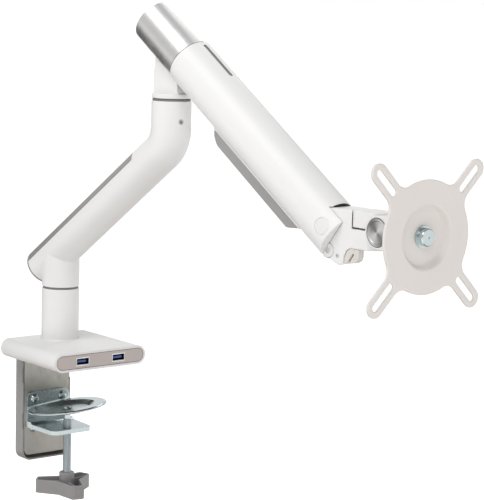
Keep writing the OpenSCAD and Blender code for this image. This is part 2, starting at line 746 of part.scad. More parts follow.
module link_pin_bosses() color("white") on_knuckle() for (side = [-1, 1])
  translate([side * (knuckle_w / 2 - 1.15), 0, -link_drop]) rotate([0, side * 90, 0]) translate([0, 0, -1.25])
    difference() {
      union() {
        cylinder(h = 2.4, r = 6);
        translate([0, 0, 2.4]) cylinder(h = 0.4, r1 = 6, r2 = 5.6);
      }
      translate([0, 0, 0.8]) cylinder(h = 4, r = 2.6);
    }

module knuckle_screw() color("gray") on_knuckle() translate([0, -9.9, -23.6]) difference() {
  across(knuckle_w - 0.8, 1.6);
  for (side = [-1, 1]) translate([side * knuckle_w / 2, 0, 0]) rotate([0, 90, 0])
    cylinder(h = 2, r = 0.9, center = true, $fn = 6);
}

clip_w = 7;

module cable_clip() color("tan") on_knuckle() translate([(clip_w - knuckle_w) / 2 + 0.3, 0, 0]) difference() {
  side_plate(clip_w, [[23.4, ledge_low - 0.1], [32.4, ledge_low - 0.1], [32.4, -22], [31.2, -26],
    [28, -27.8], [17.4, -28.6], [17.9, -23.2], [20.1, -19]]);
  // slot that a cable is pressed into
  translate([0, -24.6, -24]) rotate([35, 0, 0]) cube([40, 1.6, 9], center = true);
}

module swivel_pin() color("silver") on_knuckle() translate([0, -swivel_u, ledge_low + 1])
  cylinder(h = knuckle_top - ledge_low - 3.6, r = 5);

module swivel_washer() color("dimgray") on_knuckle() translate([0, -swivel_u, ledge_top + 0.02])
  ring(knuckle_w / 2 - 0.6, 5.06, 0.6);

/* ---- head ---- */

module head_block() color("white") on_head() difference() {
  union() {
    // block over the ledge, round behind so that it can turn
    intersection() {
      translate([-knuckle_w / 2, -14, 0.6]) cube([knuckle_w, 40, 14.2 - 0.6]);
      cylinder(h = 40, r = head_r);
    }
    // lug round the tilt axis
    translate([0, -(plate_ahead - tilt_back), 0]) across(2 * (cheek_in - 1.3), lug_r);
    translate([-(cheek_in - 1.3), -(plate_ahead - tilt_back), 0.6]) cube([2 * (cheek_in - 1.3), 12, 11.4]);
  }
  translate([0, 0, -20]) cylinder(h = 20.6, r = knuckle_w / 2 + 1.1);
  cylinder(h = 40, r = 5 + fit);
  translate([0, 0, 12.6]) cylinder(h = 4, r = 7.5);
  translate([0, -(plate_ahead - tilt_back), 0]) across(60, pin_r + fit);
}

module swivel_cap() color("white") on_head() translate([0, 0, 12.62]) cylinder(h = 1.6, r = 7.45);

module tilt_bracket() color("white") difference() {
  union() {
    on_plate() translate([0, 0, -24]) {
      cylinder(h = 16.3, r = 20);
      translate([0, 0, -7]) cylinder(h = 7.01, r1 = 13, r2 = 20);
    }
    on_head() translate([0, -(plate_ahead - tilt_back), 0]) {
      across(2 * cheek_out, boss_r);
      translate([-cheek_out, -14, -boss_r]) cube([2 * cheek_out, 14, 2 * boss_r]);
    }
  }
  on_head() translate([0, -(plate_ahead - tilt_back), 0]) {
    across(2 * cheek_in, lug_r + 0.9);
    translate([-cheek_in, -0.01, -20]) cube([2 * cheek_in, 30, 40]);
    // room for the head block and the ledge at the ends of the tilt
    translate([-cheek_in, -8, 5]) cube([2 * cheek_in, 9, 12]);
    translate([-cheek_in, -4, -17]) cube([2 * cheek_in, 5, 6]);
    across(60, pin_r + 0.02);
    for (side = [-1, 1]) translate([side * cheek_out, 0, 0]) across(2.4, 11.7);
  }
  on_plate() translate([0, 0, -30]) cylinder(h = 40, r = 4.02);
}

module tilt_axle() color("silver") on_head() translate([0, -(plate_ahead - tilt_back), 0])
  across(2 * cheek_out - 2.6, pin_r);

module tilt_caps() color("silver") on_head() translate([0, -(plate_ahead - tilt_back), 0])
  for (side = [-1, 1]) translate([side * (cheek_out - 0.55), 0, 0]) rotate([0, side * 90, 0])
    intersection() {
      translate([0, 0, -0.55]) rotate_extrude() polygon([[0, 0], [11.5, 0], [11.5, 0.7], [11.1, 1.1],
        [9.4, 1.1], [8.8, 0.7], [1, 0.9], [0, 0.9]]);
      translate([-20, -8.4, -5]) cube([40, 40, 10]);
    }

module plate_bolt() color("lightsteelblue") on_plate() difference() {
  union() {
    translate([0, 0, -4.9]) cylinder(h = 1.5, r = 8.8);
    translate([0, 0, -3.4]) cylinder(h = 4.2, r = 7.1);
    translate([0, 0, 0.8]) cylinder(h = 0.9, r1 = 7.1, r2 = 6.2);
    translate([0, 0, -22]) cylinder(h = 18, r = 4);
  }
  translate([0, 0, 1.2]) cylinder(h = 4, r = 1.2);
}

fillet_r = 11;
arm_half = 8;
fillet_at = sqrt(pow(plate_r + fillet_r, 2) - pow(arm_half + fillet_r, 2));
tip_at = screw_far * sqrt(2) + 1.6;

module slot_2d() {
  from = screw_near * sqrt(2) - 1.8;
  for (x = [from, tip_at]) translate([x, 0]) circle(d = slot_w);
  translate([from, -slot_w / 2]) square([tip_at - from, slot_w]);
}

module plate_arm_2d() {
  translate([0, -arm_half]) square([tip_at, 2 * arm_half]);
  translate([tip_at, 0]) circle(r = arm_half);
  for (side = [0, 1]) mirror([0, side]) difference() {
    polygon([[0, 0], [fillet_at, 0], [fillet_at, arm_half + fillet_r],
      [fillet_at, arm_half + fillet_r] * plate_r / (plate_r + fillet_r)]);
    translate([fillet_at, arm_half + fillet_r]) circle(r = fillet_r);
  }
}

module vesa_plate() color("gainsboro") on_plate() difference() {
  union() {
    translate([0, 0, -2.5]) linear_extrude(2.5) {
      circle(r = plate_r);
      for (i = [0:3]) rotate(45 + 90 * i) plate_arm_2d();
    }
    translate([0, 0, -7.5]) cylinder(h = 5.01, r1 = 24.2, r2 = 27.4);
  }
  translate([0, 0, -5]) cylinder(h = 5.01, r1 = 22.6, r2 = 25.8);
  translate([0, 0, -10]) cylinder(h = 20, r = 4 + fit);
  translate([0, 0, -5]) linear_extrude(10) for (i = [0:3]) rotate(45 + 90 * i) slot_2d();
}

base_cover();
base_plate();
base_pad();
usb_panel();
usb_shells();
usb_tongues();
usb_board();
base_screws();
column();
column_shaft();
column_washer();
clamp_plate();
clamp_cover();
clamp_bracket();
bracket_bolts();
disc_rivet();
pressure_disc();
clamp_screw();
clamp_knob();
lower_arm();
lower_cable_cover();
lower_end_cap();
sleeve_bushes();
elbow_bushes();
elbow_set_screw();
elbow_washer();
yoke();
yoke_shaft();
yoke_bush();
yoke_link_pin();
spring_tube();
end_sleeve();
end_plug();
rear_carrier();
rear_pivot_pin();
front_pivot_pin();
pivot_caps();
indicator_window();
tension_nut();
tension_rod();
spring();
upper_cable_rail();
upper_cable_cover();
parallel_link();
knuckle();
knuckle_bush();
knuckle_link_pin();
link_pin_bosses();
knuckle_screw();
cable_clip();
swivel_pin();
swivel_washer();
head_block();
swivel_cap();
tilt_bracket();
tilt_axle();
tilt_caps();
plate_bolt();
vesa_plate();
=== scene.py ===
"""Looks of the desk-clamp monitor arm: materials, softened edges, detail pieces, studio and camera."""

import json
import math

import bmesh
import bpy
from mathutils import Euler, Matrix, Vector


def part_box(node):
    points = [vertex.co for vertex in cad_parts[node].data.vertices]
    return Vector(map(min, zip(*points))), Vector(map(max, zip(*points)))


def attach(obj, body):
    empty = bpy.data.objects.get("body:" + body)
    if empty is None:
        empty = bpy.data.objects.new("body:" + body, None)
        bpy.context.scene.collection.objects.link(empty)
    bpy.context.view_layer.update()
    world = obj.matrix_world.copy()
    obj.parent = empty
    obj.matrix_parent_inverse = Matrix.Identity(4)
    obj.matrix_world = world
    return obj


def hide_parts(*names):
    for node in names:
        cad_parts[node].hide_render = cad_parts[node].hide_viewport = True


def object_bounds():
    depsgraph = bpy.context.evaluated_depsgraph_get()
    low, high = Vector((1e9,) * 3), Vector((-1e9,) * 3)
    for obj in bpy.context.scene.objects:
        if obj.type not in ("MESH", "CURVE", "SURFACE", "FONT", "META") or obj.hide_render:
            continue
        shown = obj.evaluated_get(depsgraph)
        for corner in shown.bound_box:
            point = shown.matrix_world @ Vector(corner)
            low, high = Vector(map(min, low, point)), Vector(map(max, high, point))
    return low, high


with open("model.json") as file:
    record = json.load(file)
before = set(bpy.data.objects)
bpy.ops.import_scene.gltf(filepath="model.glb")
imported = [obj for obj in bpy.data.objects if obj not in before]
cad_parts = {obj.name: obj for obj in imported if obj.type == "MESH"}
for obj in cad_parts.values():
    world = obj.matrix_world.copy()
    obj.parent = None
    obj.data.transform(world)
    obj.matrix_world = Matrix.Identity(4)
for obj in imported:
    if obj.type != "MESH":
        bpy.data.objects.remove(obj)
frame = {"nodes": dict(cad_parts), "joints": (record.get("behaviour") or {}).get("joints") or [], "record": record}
cad_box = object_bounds()
nodes = frame["nodes"]
scene = bpy.context.scene
MM = 0.001

# turns of the two arms about the vertical, and the slope of both, at rest
UPPER_YAW = math.radians(7.5)
LOWER_YAW = math.radians(6.7)
SLOPE = math.radians(36.7)


def joint(name):
    """A joint of the record, by name."""
    return next(j for j in frame["joints"] if j["name"] == name)


LIFT_PIVOT = Vector(joint("lift")["pos_m"])
TILT_PIVOT = Vector(joint("plate_tilt")["pos_m"])

# front of the data ports' shells, and the distance of each port from the middle
PORT_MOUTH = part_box("usb_shells")[0][1]
PORT_X = 19.7 * MM

# height of the slope's centre line at the column, and the slope's outer radius
SLOPE_HEIGHT = 102.1 * MM
SLOPE_RADIUS = 17.8 * MM

# spring tube: its centre line's distance under the pivot, half the fork's slot, and the inside's radius
TUBE_DROP = 5 * MM
FORK_HALF = 13.1 * MM
TUBE_INSIDE = 21 * MM

# joint of the end sleeve with the tube: distance from the pivot, and radius
SLEEVE_JOINT = 32.5 * MM
SLEEVE_JOINT_RADIUS = 21.3 * MM

# frames of the spring tube and of the lower arm's slope: both run out along -Y
TUBE_FRAME = Matrix.Translation(LIFT_PIVOT) @ Euler((SLOPE, 0, UPPER_YAW)).to_matrix().to_4x4()
SLOPE_FRAME = (
    Matrix.Translation((0, 0, SLOPE_HEIGHT)) @ Euler((-SLOPE, 0, LOWER_YAW)).to_matrix().to_4x4()
)

THREAD_PITCH = 1.25 * MM
THREAD_MAJOR = 3.98 * MM
THREAD_MINOR = 3.4 * MM
FLANGE_THICKNESS = 3 * MM

WHITE_PAINT = (0.83, 0.828, 0.82)

# studio: what the lights face, the floor's distance under the object and half its width, and the low card
STUDIO_MIDDLE = (0.03, -0.2, 0.12)
FLOOR_DROP = 0.25
FLOOR_HALF = 400
LOW_CARD_HALF = 0.7
LOW_CARD_Z = -0.36


# ---------------------------------------------------------------- camera, lights and stage


def add_camera():
    """A long lens in front on the left, a little above the arm."""
    downwards, rightwards, roll = math.radians(7.77), math.radians(38.5), math.radians(1.44)
    cam = bpy.data.objects.new("camera", bpy.data.cameras.new("camera"))
    scene.collection.objects.link(cam)
    cam.data.lens = 132.6
    cam.data.sensor_width = 36
    cam.location = (-0.9377, -1.4530, 0.3410)
    aim = Euler((math.radians(90) - downwards, 0, -rightwards), "XYZ").to_matrix()
    cam.rotation_euler = (aim @ Matrix.Rotation(roll, 3, "Z")).to_euler()
    scene.camera = cam


def add_area_light(name, place, size, power):
    """A white panel of light that faces the middle of the object."""
    light = bpy.data.lights.new(name, "AREA")
    light.shape = "RECTANGLE"
    light.size, light.size_y = size
    light.energy = power
    ob = bpy.data.objects.new(name, light)
    scene.collection.objects.link(ob)
    ob.location = place
    ob.rotation_euler = (Vector(STUDIO_MIDDLE) - Vector(place)).to_track_quat("-Z", "Y").to_euler()


def add_world():
    """A grey room, lighter on the left, with a bright card behind the object."""
    world = bpy.data.worlds.new("studio")
    world.use_nodes = True
    tree = world.node_tree
    background = tree.nodes["Background"]
    background.inputs["Color"].default_value = (1, 1, 1, 1)
    around = tree.nodes.new("ShaderNodeTexCoord").outputs["Generated"]
    room = spread(tree, dot(tree, around, (-0.87, 0.47, 0.15)), 0.46, 0.6, -0.2, 1)
    card = spread(tree, dot(tree, around, (0.62, 0.785, 0)), 0, 0.5, 0.9, 0.96)
    # the room lights the object, and is plain white behind it
    seen = tree.nodes.new("ShaderNodeLightPath").outputs["Is Camera Ray"]
    strength = math_node(tree, "MAXIMUM", math_node(tree, "ADD", room, card), seen)
    tree.links.new(strength, background.inputs["Strength"])
    scene.world = world
    scene.view_settings.view_transform = "Standard"


def add_sheet(name, corners, material):
    """A flat four-cornered piece of the studio."""
    mesh = bpy.data.meshes.new(name)
    mesh.from_pydata(corners, [], [(0, 1, 2, 3)])
    ob = bpy.data.objects.new(name, mesh)
    scene.collection.objects.link(ob)
    mesh.materials.append(material)
    return ob


def add_cards():
    """Dark cards that the camera doesn't see: one low behind the left side, one under the object."""
    left, right, back, low, high = -0.7, 0.25, 0.65, -0.2, 0.3
    upright = [(left, back, low), (right, back, low), (right, back, high), (left, back, high)]
    cards = (
        ("flag", (0.01, 0.01, 0.01), upright),
        ("under", (0.42, 0.38, 0.36), square(LOW_CARD_HALF, LOW_CARD_Z)),
    )
    for name, colour, corners in cards:
        card = add_sheet(name, corners, new_material(name, colour, 0.9)[0])
        card.visible_camera = False
        card.visible_diffuse = name == "under"
        card.visible_shadow = False


def square(half, z):
    """Corners of a level square round the vertical axis."""
    return [(-half, -half, z), (half, -half, z), (half, half, z), (-half, half, z)]


def add_studio():
    """The room, three panels of light, the cards and the floor."""
    add_world()
    add_area_light("overhead", (-1.3, -0.35, 2.0), (1.2, 1.2), 17)
    add_area_light("front", (-1.0, -1.5, 1.5), (0.7, 0.7), 6)
    add_area_light("strip", (1.1, 0.5, 1.5), (0.3, 1.6), 5)
    add_cards()
    floor = add_sheet("floor", square(FLOOR_HALF, 0), floor_finish())
    floor.location = (0, 0, cad_box[0][2] - FLOOR_DROP)


def floor_finish():
    """White seamless paper that glows a little, so that it stays white."""
    mat, _, bsdf = new_material("floor", (0.84, 0.82, 0.8), 0.9)
    bsdf.inputs["Emission Color"].default_value = (1, 1, 1, 1)
    bsdf.inputs["Emission Strength"].default_value = 0.7
    return mat


# ---------------------------------------------------------------- material helpers


def new_material(name, colour, roughness, metallic=0.0):
    """A node material, with its tree and its Principled shader."""
    mat = bpy.data.materials.new(name)
    mat.use_nodes = True
    tree = mat.node_tree
    bsdf = tree.nodes["Principled BSDF"]
    bsdf.inputs["Base Color"].default_value = (*colour, 1)
    bsdf.inputs["Roughness"].default_value = roughness
    bsdf.inputs["Metallic"].default_value = metallic
    return mat, tree, bsdf


def coords(tree, origin=(0, 0, 0), turn=(0, 0, 0), scale=(1, 1, 1)):
    """Object coordinates in a frame at origin, turned by an XYZ Euler, then scaled."""
    source = tree.nodes.new("ShaderNodeTexCoord")
    local = tree.nodes.new("ShaderNodeMapping")
    local.vector_type = "TEXTURE"
    local.inputs["Location"].default_value = origin
    local.inputs["Rotation"].default_value = turn
    tree.links.new(source.outputs["Object"], local.inputs["Vector"])
    scaled = tree.nodes.new("ShaderNodeMapping")
    scaled.inputs["Scale"].default_value = scale
    tree.links.new(local.outputs["Vector"], scaled.inputs["Vector"])
    return scaled.outputs["Vector"]


def noise(tree, vector, scale, detail):
    """Cloudy noise from 0 to 1, mostly between 0.3 and 0.7."""
    tex = tree.nodes.new("ShaderNodeTexNoise")
    tex.inputs["Scale"].default_value = scale
    tex.inputs["Detail"].default_value = detail
    tree.links.new(vector, tex.inputs["Vector"])
    return tex.outputs["Fac"]


def spread(tree, value, low, high, from_low=0.3, from_high=0.7):
    """The value's range from_low to from_high, stretched to low to high and held there."""
    node = tree.nodes.new("ShaderNodeMapRange")
    node.inputs["From Min"].default_value = from_low
    node.inputs["From Max"].default_value = from_high
    node.inputs["To Min"].default_value = low
    node.inputs["To Max"].default_value = high
    tree.links.new(value, node.inputs["Value"])
    return node.outputs["Result"]


def dot(tree, vector, direction):
    """How far the vector points in a direction."""
    node = tree.nodes.new("ShaderNodeVectorMath")
    node.operation = "DOT_PRODUCT"
    node.inputs[1].default_value = direction
    tree.links.new(vector, node.inputs[0])
    return node.outputs["Value"]


def math_node(tree, operation, first, second=0.0):
    """A Math node; each input is a socket or a number."""
    node = tree.nodes.new("ShaderNodeMath")
    node.operation = operation
    for value, socket in zip((first, second), node.inputs):
        if isinstance(value, float):
            socket.default_value = value
        else:
            tree.links.new(value, socket)
    return node.outputs["Value"]


def tint(tree, bsdf, value, first, second):
    """A base colour that goes from the first colour to the second as the value goes from 0 to 1."""
    mix = tree.nodes.new("ShaderNodeMix")
    mix.data_type = "RGBA"
    mix.inputs[6].default_value = (*first, 1)
    mix.inputs[7].default_value = (*second, 1)
    tree.links.new(value, mix.inputs["Factor"])
    tree.links.new(mix.outputs[2], bsdf.inputs["Base Color"])


def bump(tree, bsdf, height, strength, distance):
    """Surface relief from a height between 0 and 1."""
    node = tree.nodes.new("ShaderNodeBump")
    node.inputs["Strength"].default_value = strength
    node.inputs["Distance"].default_value = distance
    tree.links.new(height, node.inputs["Height"])
    tree.links.new(node.outputs["Normal"], bsdf.inputs["Normal"])


def coated(name, colour, roughness, grain=2600, depth=0.00003, variation=0.03):
    """Satin powder coat or paint: a fine orange peel and a slow change of tone."""
    mat, tree, bsdf = new_material(name, colour, roughness)
    here = coords(tree)
    slow = noise(tree, here, 14, 2)
    fine = noise(tree, here, grain, 2)
    dark = [c * (1 - variation) for c in colour]
    tint(tree, bsdf, spread(tree, slow, 0, 1), dark, colour)
    tree.links.new(spread(tree, fine, roughness - 0.05, roughness + 0.06), bsdf.inputs["Roughness"])
    bump(tree, bsdf, fine, 0.35, depth)
    return mat


def moulded(name, colour, roughness, grain=1800, depth=0.00005, variation=0.08):
    """Moulded plastic with a fine spark-eroded texture."""
    mat = coated(name, colour, roughness, grain, depth, variation)
    mat.node_tree.nodes["Principled BSDF"].inputs["Specular IOR Level"].default_value = 0.4
    return mat


def metal(
    name,
    colour,
    roughness,
    brush=(1, 1, 1),
    origin=(0, 0, 0),
    turn=(0, 0, 0),
    strength=0.25,
    blotch=0.12,
    grain=900,
    vary=0.17,
):
    """Bare or plated metal: brush marks, drawn out by the scale in brush, and slow patches.

    The marks give relief by strength and vary the roughness; blotch is how much darker the patches get.
    """
    mat, tree, bsdf = new_material(name, colour, roughness, 1.0)
    here = coords(tree, origin, turn)
    lines = noise(tree, coords(tree, origin, turn, brush), grain, 2)
    patches = noise(tree, here, 30, 4)
    dark = [c * (1 - blotch) for c in colour]
    tint(tree, bsdf, spread(tree, patches, 0, 1), dark, colour)
    rough = spread(tree, lines, roughness - 0.4 * vary, roughness + 0.6 * vary)
    tree.links.new(rough, bsdf.inputs["Roughness"])
    bump(tree, bsdf, lines, strength, 0.00002)
    return mat


# ---------------------------------------------------------------- the finishes


def port_shell_with_painted_shade():
    """Plated steel at the mouth of a data port, and painted shade inside it: black and not metallic deeper in."""
    plated, black = (0.72, 0.72, 0.73), (0.012, 0.012, 0.013)
    mat = metal("port_metal", plated, 0.35, (1, 6, 1), strength=0.05)
    tree = mat.node_tree
    bsdf = tree.nodes["Principled BSDF"]
    depth = tree.nodes.new("ShaderNodeSeparateXYZ")
    tree.links.new(coords(tree), depth.inputs["Vector"])
    # painted shade: past the mouth the base colour turns black and the metal stops reflecting
    mouth = spread(tree, depth.outputs["Y"], 1, 0, PORT_MOUTH + 0.2 * MM, PORT_MOUTH + 0.6 * MM)
    tint(tree, bsdf, mouth, black, plated)
    tree.links.new(mouth, bsdf.inputs["Metallic"])
    return mat


def tube_paint_with_painted_shade(turn):
    """The spring tube's paint, with painted shade: black inside the tube between the sides of the fork."""
    mat = coated("tube_paint_with_painted_shade", WHITE_PAINT, 0.42)
    tree = mat.node_tree
    here = coords(tree, LIFT_PIVOT, turn)
    axis = tree.nodes.new("ShaderNodeSeparateXYZ")
    tree.links.new(here, axis.inputs["Vector"])
    across = math_node(tree, "ABSOLUTE", axis.outputs["X"])
    height = math_node(tree, "ADD", axis.outputs["Z"], TUBE_DROP)
    squares = [math_node(tree, "POWER", side, 2.0) for side in (across, height)]
    radius = math_node(tree, "SQRT", math_node(tree, "ADD", *squares))
    in_fork = math_node(tree, "LESS_THAN", across, FORK_HALF)
    in_tube = math_node(tree, "LESS_THAN", radius, TUBE_INSIDE)
    # painted shade: the base colour turns near black inside the tube, between the sides of the fork
    inside = math_node(tree, "MULTIPLY", in_fork, in_tube)
    tint(tree, tree.nodes["Principled BSDF"], inside, WHITE_PAINT, (0.02, 0.02, 0.02))
    return mat


def spun_metal_painted_reflection():
    """A turned cap: brushing round the tilt axis, and a painted reflection: the base colour goes dark and light in
    opposite sectors.
    """
    mat, tree, bsdf = new_material("spun_painted_reflection", (0.6, 0.6, 0.6), 0.34, 1.0)
    here = coords(tree, TILT_PIVOT, (0, math.radians(90), 0))
    round_it = tree.nodes.new("ShaderNodeTexGradient")
    round_it.gradient_type = "RADIAL"
    tree.links.new(here, round_it.inputs["Vector"])
    two_waves = spread(tree, round_it.outputs["Fac"], 0, 4 * math.pi, 0, 1)
    # painted reflection: the base colour swings from dark to light twice round the tilt axis
    painted_reflection_fan = spread(tree, math_node(tree, "SINE", two_waves), 0, 1, -1, 1)
    tint(tree, bsdf, painted_reflection_fan, (0.22, 0.22, 0.22), (0.66, 0.66, 0.66))
    rings = tree.nodes.new("ShaderNodeTexWave")
    rings.wave_type = "RINGS"
    rings.rings_direction = "SPHERICAL"
    rings.inputs["Scale"].default_value = 900
    tree.links.new(here, rings.inputs["Vector"])
    fine = noise(tree, here, 1500, 2)
    tree.links.new(spread(tree, fine, 0.3, 0.4), bsdf.inputs["Roughness"])
    bump(tree, bsdf, rings.outputs["Fac"], 0.15, 0.00001)
    return mat


def make_finishes():
    """Every finish by name: those of the record's slots, and those that only a piece takes."""
    tube_turn = (SLOPE, 0, UPPER_YAW)
    along_tube = {"origin": LIFT_PIVOT, "turn": tube_turn}
    plating = {"strength": 0.01, "blotch": 0.03, "grain": 60, "vary": 0.03}
    rolled = {"brush": (1, 1, 0.15), "strength": 0.05, "blotch": 0.06}
    turned = {"brush": (0.15, 3, 0.15), "strength": 0.05, "blotch": 0.02}
    return {
        "white_paint": coated("white_paint", WHITE_PAINT, 0.42),
        # white tube paint with painted shade inside the tube
        "tube_paint_with_painted_shade": tube_paint_with_painted_shade(tube_turn),
        "white_plastic": moulded("white_plastic", (0.8, 0.795, 0.785), 0.38, variation=0.02),
        "grey_plastic": moulded("grey_plastic", (0.33, 0.325, 0.32), 0.42),
        "knob_plastic": moulded("knob_plastic", (0.33, 0.32, 0.32), 0.42),
        # painted shade: the cable clip is white plastic, made darker and warmer here for the shade under the head
        # block
        "clip_plastic": moulded("clip_plastic", (0.72, 0.69, 0.65), 0.5),
        "dark_plastic": moulded("dark_plastic", (0.2, 0.195, 0.19), 0.5),
        "bush_plastic": moulded("bush_plastic", (0.75, 0.73, 0.66), 0.45),
        "plate_paint": coated("plate_paint", (0.76, 0.725, 0.695), 0.42),
        "panel": coated("panel", (0.54, 0.475, 0.455), 0.4, grain=4000, depth=0.00001),
        # the ports' plated metal, with painted shade inside them
        "port_metal": port_shell_with_painted_shade(),
        "port_blue": moulded("port_blue", (0.05, 0.13, 0.36), 0.35),
        "board": coated("board", (0.03, 0.2, 0.08), 0.35),
        "pad": moulded("pad", (0.05, 0.05, 0.05), 0.9, grain=900, depth=0.0002),
        "steel": metal("steel", (0.6, 0.6, 0.61), 0.3),
        "bright": metal("bright", (0.78, 0.78, 0.79), 0.35, strength=0.03, blotch=0.02),
        "dark_steel": metal("dark_steel", (0.16, 0.16, 0.17), 0.35),
        "plate_steel": metal("plate_steel", (0.5, 0.49, 0.45), 0.45, **rolled),
        "zinc": metal("zinc", (0.55, 0.62, 0.63), 0.26, **plating),
        "silver": metal("silver", (0.74, 0.735, 0.73), 0.36, **along_tube, **turned),
        # turned metal of the tilt caps, with a painted reflection in its base colour
        "spun_painted_reflection": spun_metal_painted_reflection(),
        "screw_steel": metal("screw_steel", (0.6, 0.65, 0.68), 0.3, **plating),
        "seam": moulded("seam", (0.16, 0.155, 0.15), 0.6),
        "cast_grey": metal("cast_grey", (0.45, 0.45, 0.45), 0.5, strength=0.6),
        "brass": metal("brass", (0.72, 0.55, 0.28), 0.3),
    }


def dress_nodes(finishes):
    """Every CAD node takes the finish of its slot in the record, apart from a few that take their own."""
    slots = {row["node"]: row["material_slot"] for row in frame["record"]["subparts"]}
    slots.update(tilt_caps="spun_painted_reflection", spring_tube="tube_paint_with_painted_shade", elbow_set_screw="steel", knuckle_screw="steel")
    for name, ob in nodes.items():
        ob.data.materials.clear()
        ob.data.materials.append(finishes[slots[name]])


# ---------------------------------------------------------------- softened CAD edges


def shade_by_angle(ob, degrees=35):
    """Smooth shading that breaks at edges sharper than the angle."""
    mesh = ob.data
    mesh.shade_smooth()
    mesh.set_sharp_from_angle(angle=math.radians(degrees))


def weld(ob):
    """Joins the vertices that the CAD mesh has twice."""
    mod = ob.modifiers.new("weld", "WELD")
    mod.merge_threshold = 0.000002


def round_edges(ob, width):
    """A small machined radius on the sharp edges of a CAD node."""
    segments, degrees = 3, 32
    weld(ob)
    mod = ob.modifiers.new("edge_radius", "BEVEL")
    mod.width = width
    mod.segments = segments
    mod.limit_method = "ANGLE"
    mod.angle_limit = math.radians(degrees)
    mod.harden_normals = True
    mod.use_clamp_overlap = True


def cast(ob, voxel, passes):
    """The rounded edges and soft blends of a die casting or a moulding."""
    weld(ob)
    mesh = ob.modifiers.new("cast_mesh", "REMESH")
    mesh.mode = "VOXEL"
    mesh.voxel_size = voxel
    mesh.use_smooth_shade = True
    relax = ob.modifiers.new("cast_blend", "SMOOTH")
    relax.factor = 0.5
    relax.iterations = passes


# voxel size in mm, and smoothing passes
CASTINGS = {
    "knuckle": (0.6, 4),
    "head_block": (0.6, 4),
    "tilt_bracket": (0.6, 4),
    "yoke": (0.6, 4),
    "clamp_knob": (0.4, 4),
    "cable_clip": (0.4, 3),
    "vesa_plate": (0.5, 8),
}

# edge radius in mm
EDGES = {
    "base_cover": 0.5,
    "clamp_cover": 0.6,
    "clamp_plate": 0.4,
    "swivel_cap": 0.3,
    "lower_cable_cover": 0.4,
    "clamp_bracket": 0.7,
    "pressure_disc": 0.5,
}


def soften_nodes():
    """Rounds the castings and mouldings, and the edges of the plain parts."""
    for name, (voxel, passes) in CASTINGS.items():
        cast(nodes[name], voxel * MM, passes)
    for name, width in EDGES.items():
        round_edges(nodes[name], width * MM)


# ---------------------------------------------------------------- detail pieces


def add_piece(name, bm, body, finish, angle=35):
    """A finished mesh piece, in the row frame, that rides on a body."""
    mesh = bpy.data.meshes.new(name)
    bmesh.ops.recalc_face_normals(bm, faces=bm.faces[:])
    bm.to_mesh(mesh)
    bm.free()
    ob = bpy.data.objects.new(name, mesh)
    scene.collection.objects.link(ob)
    mesh.materials.append(finishes[finish])
    shade_by_angle(ob, angle)
    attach(ob, body)
    return ob


def lathe(bm, outline, steps, place):
    """A closed outline of (radius, height) points turned about +Z of the place matrix."""
    rings = []
    for i in range(steps):
        turn = 2 * math.pi * i / steps
        points = [place @ Vector((r * math.cos(turn), r * math.sin(turn), z)) for r, z in outline]
        rings.append([bm.verts.new(point) for point in points])
    join_loops(bm, rings + rings[:1])


def join_loops(bm, loops):
    """Faces between each closed loop of vertices and the next."""
    count = len(loops[0])
    for a, b in zip(loops, loops[1:]):
        for k in range(count):
            bm.faces.new((a[k], b[k], b[(k + 1) % count], a[(k + 1) % count]))


def box_section(inner, outer, low, high):
    """The outline of a ring for lathe: two radii and two heights."""
    return [(inner, low), (outer, low), (outer, high), (inner, high)]


def add_sleeve_seam():
    """The dark line of the joint between the end sleeve and the spring tube."""
    bm = bmesh.new()
    middle = Matrix.Translation((0, -SLEEVE_JOINT, -TUBE_DROP))
    place = TUBE_FRAME @ middle @ Matrix.Rotation(math.radians(90), 4, "X")
    deep, proud, half_width = 0.3 * MM, 0.03 * MM, 0.25 * MM
    inner, outer = SLEEVE_JOINT_RADIUS - deep, SLEEVE_JOINT_RADIUS + proud
    lathe(bm, box_section(inner, outer, -half_width, half_width), 128, place)
    add_piece("sleeve_seam", bm, "spring_arm", "seam")


def add_clamp_screw():
    """The clamp screw with its thread and the plain pin at its top, standing for the CAD rod."""
    low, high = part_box("clamp_screw")
    axis = Matrix.Translation(((low[0] + high[0]) / 2, (low[1] + high[1]) / 2, 0))
    sides, rows_per_turn = 32, 8
    inset, pin_length, pin_radius, pin_inner = 1 * MM, 5.2 * MM, 2.9 * MM, 0.4 * MM
    bottom, top = low[2] + inset, high[2] - pin_length
    rows = int((top - bottom) / THREAD_PITCH * rows_per_turn)
    bm = bmesh.new()
    grid = []
    for k in range(rows + 1):
        z = bottom + (top - bottom) * k / rows
        ring = []
        for i in range(sides):
            turn = 2 * math.pi * i / sides
            phase = ((z - bottom) / THREAD_PITCH - i / sides) % 1
            crest = min(1, max(0, 1.6 - 4 * abs(phase - 0.5)))
            r = THREAD_MINOR + (THREAD_MAJOR - THREAD_MINOR) * crest
            ring.append(bm.verts.new(axis @ Vector((r * math.cos(turn), r * math.sin(turn), z))))
        grid.append(ring)
    join_loops(bm, grid)
    bm.faces.new(grid[0])
    bm.faces.new(grid[-1])
    lathe(bm, box_section(pin_inner, pin_radius, top - inset, high[2]), sides, axis)
    screw = add_piece("clamp_screw_thread", bm, "clamp_knob", "screw_steel", 50)
    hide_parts("clamp_screw")


def middle_height(node):
    """Half way up a CAD node."""
    low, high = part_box(node)
    return (low[2] + high[2]) / 2


def add_usb_tongues():
    """The blue tongue that fills the middle of each port's mouth."""
    width, length, thickness, recess = 10.2 * MM, 8 * MM, 2.1 * MM, 1.6 * MM
    shape = Matrix.Diagonal((width, length, thickness, 1))
    for side, name in ((-1, "left"), (1, "right")):
        bm = bmesh.new()
        place = Vector((side * PORT_X, PORT_MOUTH + recess + length / 2, middle_height("usb_shells")))
        bmesh.ops.create_cube(bm, size=1, matrix=Matrix.Translation(place) @ shape)
        bmesh.ops.bevel(bm, geom=bm.edges[:], offset=0.3 * MM, segments=2, affect="EDGES")
        add_piece(f"usb_tongue_{name}", bm, "base", "port_blue")


